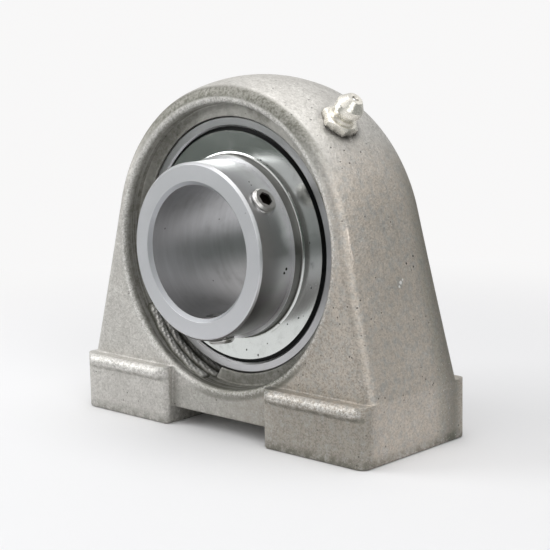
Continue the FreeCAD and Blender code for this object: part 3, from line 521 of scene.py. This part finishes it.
def sheet_finish(settings):
    """Bright pressed sheet: streaks round the shaft, specks, marks and an oily hub."""
    s = new_surface("pressed_sheet")
    streaks = s.noise(1.0, 2.0, 0.6, place=s.around(9.0, 4.0))
    wave = s.noise(9.0, 1.0)
    speck = s.cells(1.7).rise(0.17, 0.08) * s.noise(4.5).rise(0.54, 0.6)
    film = s.noise(5.0, 4.0, 0.7).rise(0.5, 0.8)
    tone = s.blend(film * 0.25, settings.sheet, settings.stain)
    hub = s.radius().rise(21.4, 20.9) * abs(s.y).rise(9.8, 10.1)
    edge = abs(s.y).rise(12.15, 12.3)
    tone = s.blend(hub * 0.95, tone, settings.hub)
    # Painted highlight along the sheared end of the hub
    tone = s.blend(edge * 0.7, tone, settings.hub_edge_highlight)
    tone = s.blend(speck * 0.9, tone, settings.sheet_speck)
    fine = s.noise(0.4, 3.0, 0.6)
    for place, size in FLINGER_MARKS:
        tone = s.blend(s.near(place, size, fine), tone, settings.sheet_mark)
    height = wave * 0.05 + streaks * 0.003 - speck * 0.02
    rough = 0.15 + streaks * 0.06 + film * 0.1 + hub * 0.18
    return s.finish(Base_Color=tone, Metallic=1.0, Roughness=rough,
                    Normal=s.relief(height))


def rubber_finish(settings):
    """Moulded seal rubber with a dull bloom."""
    s = new_surface("seal_rubber")
    bloom = s.noise(2.2, 3.0)
    rings = s.noise(1.0, 1.0, place=s.around(3.0, 5.0))
    tone = s.blend(bloom * 0.4, settings.rubber, settings.bloom)
    return s.finish(Base_Color=tone, Roughness=0.55 + bloom * 0.2, Specular_IOR_Level=0.25,
                    Normal=s.relief(rings * 0.01 + bloom * 0.01))


def ball_finish(settings):
    """Polished bearing ball with a trace of grease."""
    s = new_surface("polished_ball")
    film = s.noise(2.5, 3.0)
    tone = s.blend(film * 0.25, settings.polished, settings.stain)
    return s.finish(Base_Color=tone, Metallic=1.0, Roughness=0.06 + film * 0.08,
                    Normal=s.relief(film * 0.002))


def screw_finish(settings):
    """Turned set screw steel: thread ridges on its sides, painted shade in its socket."""
    s = new_surface("screw_steel")
    film = s.noise(1.3, 3.0)
    height = film * 0.01
    socket = 0.0
    for turn in SCREW_TURNS:
        along, across, beside, reach = s.spoke(turn, SCREW_PLACE)
        outward = along.rise(0.0, 1.0)
        ridge = helix(along, across, beside, 1.0)
        height = height + ridge * reach.rise(2.6, 2.85) * outward * 0.08
        socket = socket + reach.rise(1.8, 1.68) * along.rise(20.9, 20.4) * outward
    tone = s.blend(film * 0.4, settings.screw, settings.stain)
    # Painted shade inside the hexagon socket
    tone = s.blend(socket * 0.88, tone, settings.socket)
    return s.finish(Base_Color=tone, Metallic=1.0, Roughness=0.22 + film * 0.2,
                    Normal=s.relief(height))


def plating_finish(settings):
    """Pale satin plating of the grease nipple, with small dents."""
    s = new_surface("nipple_plating")
    film = s.noise(1.6, 3.0)
    dents = s.noise(0.9, 2.0)
    low = (s.x + s.z).rise(55.0, 53.5)
    tone = s.blend(film.rise(0.4, 0.7) * 0.25, settings.plating, settings.stain)
    # A dirty film and painted shade low on the nipple's hexagon, where it meets the casting
    tone = s.blend(low * film.rise(0.35, 0.6) * 0.8, tone, settings.foot)
    return s.finish(Base_Color=tone, Metallic=0.7, Roughness=0.2 + film * 0.16,
                    Normal=s.relief(dents * 0.05))


def wire_finish(settings):
    """Drawn spring wire."""
    s = new_surface("spring_wire")
    film = s.noise(0.4, 2.0)
    tone = s.blend(film * 0.5, settings.screw, settings.stain)
    return s.finish(Base_Color=tone, Metallic=1.0, Roughness=0.25 + film * 0.2)


def new_piece(name, points, faces):
    """Object of its own in the scene, from points in metres and faces."""
    mesh = bpy.data.meshes.new(name)
    mesh.from_pydata(points, [], faces)
    piece = bpy.data.objects.new(name, mesh)
    bpy.context.scene.collection.objects.link(piece)
    return piece


# The loading slot's torn ridges
def smooth(value, low, high):
    """0 at low, 1 at high and smooth between."""
    part = np.clip((value - low) / (high - low), 0.0, 1.0)
    return part * part * (3.0 - 2.0 * part)


def slot_ridges():
    """Strip on the recess's wall at the loading slot.

    At each turn t and place y its front has the radius
    SLOT_RIM - border(t, y) * (SLOT_SKIN + height(t, y)), where height is the largest of
    rise * length(t) * exp(-|(y - line(t)) / half| ** 2.6) over the ridges, times waves
    near 1. Its back has the radius SLOT_BACK, inside the housing.
    """
    turn = np.linspace(SLOT_START, SLOT_END, SLOT_ROWS)[:, None]
    depth = np.linspace(SLOT_MOUTH, SLOT_SEAT, SLOT_COLUMNS)[None, :]
    height = np.zeros((turn.size, depth.size))
    for middle, slope, half, rise, start, end in RIDGES:
        line = middle + slope * (turn - SLOT_MIDDLE) + 0.12 * np.sin(turn * 0.55 + middle)
        length = smooth(turn, start, start + 5.0) * smooth(turn, end, end - 3.0)
        profile = np.exp(-np.abs((depth - line) / half) ** 2.6)
        height = np.maximum(height, rise * length * profile)
    wave = (np.sin(turn * 3.1 + depth * 2.3) + np.sin(turn * 5.3 - depth * 3.7)
            + np.sin(turn * 1.3 + depth * 6.1)) / 3.0
    height = height * (1.0 + 0.22 * wave)
    border = smooth(turn, SLOT_START, SLOT_START + 3.0) * smooth(turn, SLOT_END, SLOT_END - 2.5)
    border = border * smooth(depth, SLOT_MOUTH, SLOT_MOUTH + 0.7)
    border = border * smooth(depth, SLOT_SEAT, SLOT_SEAT - 0.8)
    radius = SLOT_RIM - (SLOT_SKIN + height) * border
    crest = np.clip(height / 0.5, 0.0, 1.0)

    # Each ring of points is the front from mouth to seat, then two points of the back
    back = np.full((turn.size, 2), SLOT_BACK)
    radius = np.concatenate([radius, back], axis=1)
    across = np.concatenate([np.broadcast_to(depth, crest.shape),
                             np.broadcast_to(depth[:, [-1, 0]], back.shape)], axis=1)
    crest = np.concatenate([crest, back * 0.0], axis=1)
    angle = np.radians(turn)
    points = np.stack([radius * np.cos(angle), across, radius * np.sin(angle)], axis=-1)
    rows, loop = radius.shape
    first = np.arange(rows - 1)[:, None] * loop + np.arange(loop)
    after = np.arange(rows - 1)[:, None] * loop + (np.arange(loop) + 1) % loop
    quads = np.stack([first, after, after + loop, first + loop], axis=-1).reshape(-1, 4)
    ends = [list(range(loop))[::-1], list(range((rows - 1) * loop, rows * loop))]
    piece = new_piece("slot_ridges", (points.reshape(-1, 3) / MM).tolist(),
                      quads.tolist() + ends)
    mesh = piece.data
    mesh.attributes.new("crest", "FLOAT", "POINT").data.foreach_set("value", crest.ravel())
    shell = bmesh.new()
    shell.from_mesh(mesh)
    bmesh.ops.recalc_face_normals(shell, faces=shell.faces)
    shell.to_mesh(mesh)
    shell.free()
    mesh.shade_smooth()
    return piece


# Operators
class PILLOW_OT_casting(bpy.types.Operator):
    """Finish the cast housing"""
    bl_idname = "pillow.casting"
    bl_label = "Housing casting"

    def execute(self, context):
        dress(casting_finish(context.scene.pillow_casting), "housing")
        ridges = slot_ridges()
        ridges.data.materials.append(ridge_finish(context.scene.pillow_casting))
        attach(ridges, "housing")
        return {"FINISHED"}


class PILLOW_OT_rings(bpy.types.Operator):
    """Finish the ground inner and outer ring"""
    bl_idname = "pillow.rings"
    bl_label = "Bearing rings"

    def execute(self, context):
        steel = context.scene.pillow_steel
        dress(ground_finish(steel, "ground_inner", SCREW_TURNS, COLLAR_MARKS), "inner_ring")
        dress(ground_finish(steel, "ground_outer"), "outer_ring")
        return {"FINISHED"}


class PILLOW_OT_sheet(bpy.types.Operator):
    """Finish the flingers, the cage and its rivets"""
    bl_idname = "pillow.sheet"
    bl_label = "Flingers and cage"

    def execute(self, context):
        material = sheet_finish(context.scene.pillow_steel)
        dress(material, "flinger_front", "flinger_rear", "cage_front", "cage_rear",
              "cage_rivets")
        return {"FINISHED"}


class PILLOW_OT_seals(bpy.types.Operator):
    """Finish the rubber seals"""
    bl_idname = "pillow.seals"
    bl_label = "Seals"

    def execute(self, context):
        dress(rubber_finish(context.scene.pillow_seal), "seal_front", "seal_rear")
        return {"FINISHED"}


class PILLOW_OT_balls(bpy.types.Operator):
    """Finish the bearing balls and the nipple's ball"""
    bl_idname = "pillow.balls"
    bl_label = "Balls"

    def execute(self, context):
        dress(ball_finish(context.scene.pillow_steel), "nipple_ball", *BALLS)
        return {"FINISHED"}


class PILLOW_OT_screws(bpy.types.Operator):
    """Finish the set screws"""
    bl_idname = "pillow.screws"
    bl_label = "Set screws"

    def execute(self, context):
        dress(screw_finish(context.scene.pillow_steel), "set_screw_1", "set_screw_2")
        return {"FINISHED"}


class PILLOW_OT_nipple(bpy.types.Operator):
    """Finish the grease nipple and its spring"""
    bl_idname = "pillow.nipple"
    bl_label = "Grease nipple"

    def execute(self, context):
        dress(plating_finish(context.scene.pillow_steel), "nipple_body")
        dress(wire_finish(context.scene.pillow_steel), "nipple_spring")
        return {"FINISHED"}


def soft_box(name, place, aim, width, height, power):
    """Area lamp at a place, turned to its aim."""
    light = bpy.data.lights.new(name, "AREA")
    light.shape = "RECTANGLE"
    light.size, light.size_y = width, height
    light.energy = power
    lamp = bpy.data.objects.new(name, light)
    direction = Vector(aim) - Vector(place)
    lamp.matrix_world = (Matrix.Translation(Vector(place))
                         @ direction.to_track_quat("-Z", "Y").to_matrix().to_4x4())
    bpy.context.scene.collection.objects.link(lamp)


def floor_sheet(settings):
    """Flat paper under the object, its sides square to the camera's view.

    Its points are (u cos a - v sin a, u sin a + v cos a, low), with the camera's azimuth a.
    """
    low = CAD_BOX[0][2]
    reach = np.linspace(-FLOOR_REACH, FLOOR_REACH, 9)
    u, v = [grid.ravel() for grid in np.meshgrid(reach, reach, indexing="ij")]
    cos, sin = math.cos(settings.azimuth), math.sin(settings.azimuth)
    points = np.stack([u * cos - v * sin, u * sin + v * cos, np.full(u.size, low)], axis=-1)
    rows = reach.size
    corner = (np.arange(rows - 1)[:, None] * rows + np.arange(rows - 1)).ravel()
    faces = np.stack([corner, corner + rows, corner + rows + 1, corner + 1], axis=1)
    return new_piece("paper", points.tolist(), faces.tolist())


def paper_finish(settings):
    """Matt paper near the object that turns to the plain backdrop further out.

    In reflections it darkens to the room instead.
    """
    s = new_surface("paper")
    away = (s.x * s.x + s.y * s.y).root()
    fleck = s.noise(30.0, 2.0)
    tone = s.blend(fleck * 0.2, settings.floor, tuple(c * 0.985 for c in settings.floor))
    seen = s.node("ShaderNodeLightPath", {}, (), output="Is Camera Ray")
    tone = s.blend(away.rise(80.0, 300.0) * seen.output("Is Glossy Ray"), tone, settings.room)
    matt = s.node("ShaderNodeBsdfDiffuse", {}, {"Color": tone})
    plain = s.node("ShaderNodeEmission", {}, {"Color": tuple(settings.paper) + (1.0,)})
    factor = away.rise(95.0, 250.0) * seen
    return s.close(s.node("ShaderNodeMixShader", {}, (factor, matt, plain)))


def studio_world(settings):
    """World in three parts, by who looks.

    The camera sees the plain backdrop. Reflections show a dim room with a bright ceiling
    and a brighter wall behind the object. Diffuse light comes from a dome that is
    brighter at the front left.
    """
    world = bpy.data.worlds.new("studio")
    s = Surface(world, "Generated", 1.0)
    turn = settings.azimuth
    behind = s.y * math.cos(turn) - s.x * math.sin(turn)
    ceiling = s.z.rise(0.3, 0.75)
    wall = behind.rise(0.0, 0.9) * 0.45
    shade = s.blend(wall.most(ceiling), settings.room, settings.paper)
    lit = (s.x * -0.6 - s.y * 0.8).rise(-0.9, 0.9)
    dome = s.blend(lit, settings.dome_far, settings.dome_near)
    ray = s.node("ShaderNodeLightPath", {}, (), output="Is Camera Ray")
    soft = s.blend(ray.output("Is Diffuse Ray"), shade, dome)
    seen = s.blend(ray, soft, settings.paper)
    sky = s.node("ShaderNodeBackground", {}, {"Color": seen, "Strength": 1.0})
    bpy.context.scene.world = s.close(sky, "World")


def photo_camera(settings):
    """Camera at the photograph's place: aimed beside the shaft's centre, then rolled."""
    a, e = settings.azimuth, settings.elevation
    back = Vector((math.sin(a) * math.cos(e), -math.cos(a) * math.cos(e), math.sin(e)))
    up = Vector((0.0, 0.0, 1.0))
    right = (-back).cross(up).normalized()
    place = back * settings.distance
    target = right * settings.aim_right + right.cross(-back) * settings.aim_up
    forward = (target - place).normalized()
    right = forward.cross(up).normalized()
    upward = right.cross(forward)
    c, r = math.cos(settings.roll), math.sin(settings.roll)
    axes = (right * c + upward * r, upward * c - right * r, -forward)
    data = bpy.data.cameras.new("photo_camera")
    data.lens = settings.lens
    data.sensor_width = 36.0
    data.clip_start, data.clip_end = 0.01, 20.0
    camera = bpy.data.objects.new("photo_camera", data)
    camera.matrix_world = Matrix.Translation(place) @ Matrix(axes).transposed().to_4x4()
    bpy.context.scene.collection.objects.link(camera)
    bpy.context.scene.camera = camera


class PILLOW_OT_studio(bpy.types.Operator):
    """Build the floor, lights, world and camera"""
    bl_idname = "pillow.studio"
    bl_label = "Studio"

    def execute(self, context):
        settings = context.scene.pillow_studio
        sweep = floor_sheet(settings)
        sweep.data.materials.append(paper_finish(settings))
        soft_box("key", (-0.38, -0.27, 0.20), (0.0, 0.0, 0.0), 0.3, 0.3, settings.key)
        soft_box("top", (0.05, 0.0, 0.75), (0.0, 0.0, 0.0), 0.7, 0.7, settings.top)
        soft_box("fill", (0.62, -0.3, 0.28), (0.0, 0.0, 0.0), 0.35, 0.5, settings.fill)
        studio_world(settings)
        photo_camera(settings)
        context.scene.view_settings.view_transform = "Standard"
        return {"FINISHED"}


STEPS = ("studio", "casting", "rings", "sheet", "seals", "balls", "screws", "nipple")


class PILLOW_PT_steps(bpy.types.Panel):
    """Lists the steps in the sidebar"""
    bl_idname = "PILLOW_PT_steps"
    bl_label = "Pillow Block"
    bl_space_type = "VIEW_3D"
    bl_region_type = "UI"
    bl_category = "Pillow Block"

    def draw(self, context):
        for step in STEPS:
            self.layout.operator("pillow." + step)
        for group in (context.scene.pillow_casting, context.scene.pillow_steel,
                      context.scene.pillow_seal, context.scene.pillow_studio):
            box = self.layout.box()
            for name in group.__annotations__:
                box.prop(group, name)


SETTINGS = {
    "pillow_casting": CastingSettings,
    "pillow_steel": SteelSettings,
    "pillow_seal": SealSettings,
    "pillow_studio": StudioSettings,
}
CLASSES = (CastingSettings, SteelSettings, SealSettings, StudioSettings, PILLOW_OT_casting,
           PILLOW_OT_rings, PILLOW_OT_sheet, PILLOW_OT_seals, PILLOW_OT_balls,
           PILLOW_OT_screws, PILLOW_OT_nipple, PILLOW_OT_studio, PILLOW_PT_steps)


def register():
    for cls in CLASSES:
        bpy.utils.register_class(cls)
    for name, group in SETTINGS.items():
        setattr(bpy.types.Scene, name, PointerProperty(type=group))


def unregister():
    for name in SETTINGS:
        delattr(bpy.types.Scene, name)
    for cls in reversed(CLASSES):
        bpy.utils.unregister_class(cls)


def main():
    register()
    for step in STEPS:
        getattr(bpy.ops.pillow, step)()


if __name__ == "__main__":
    main()
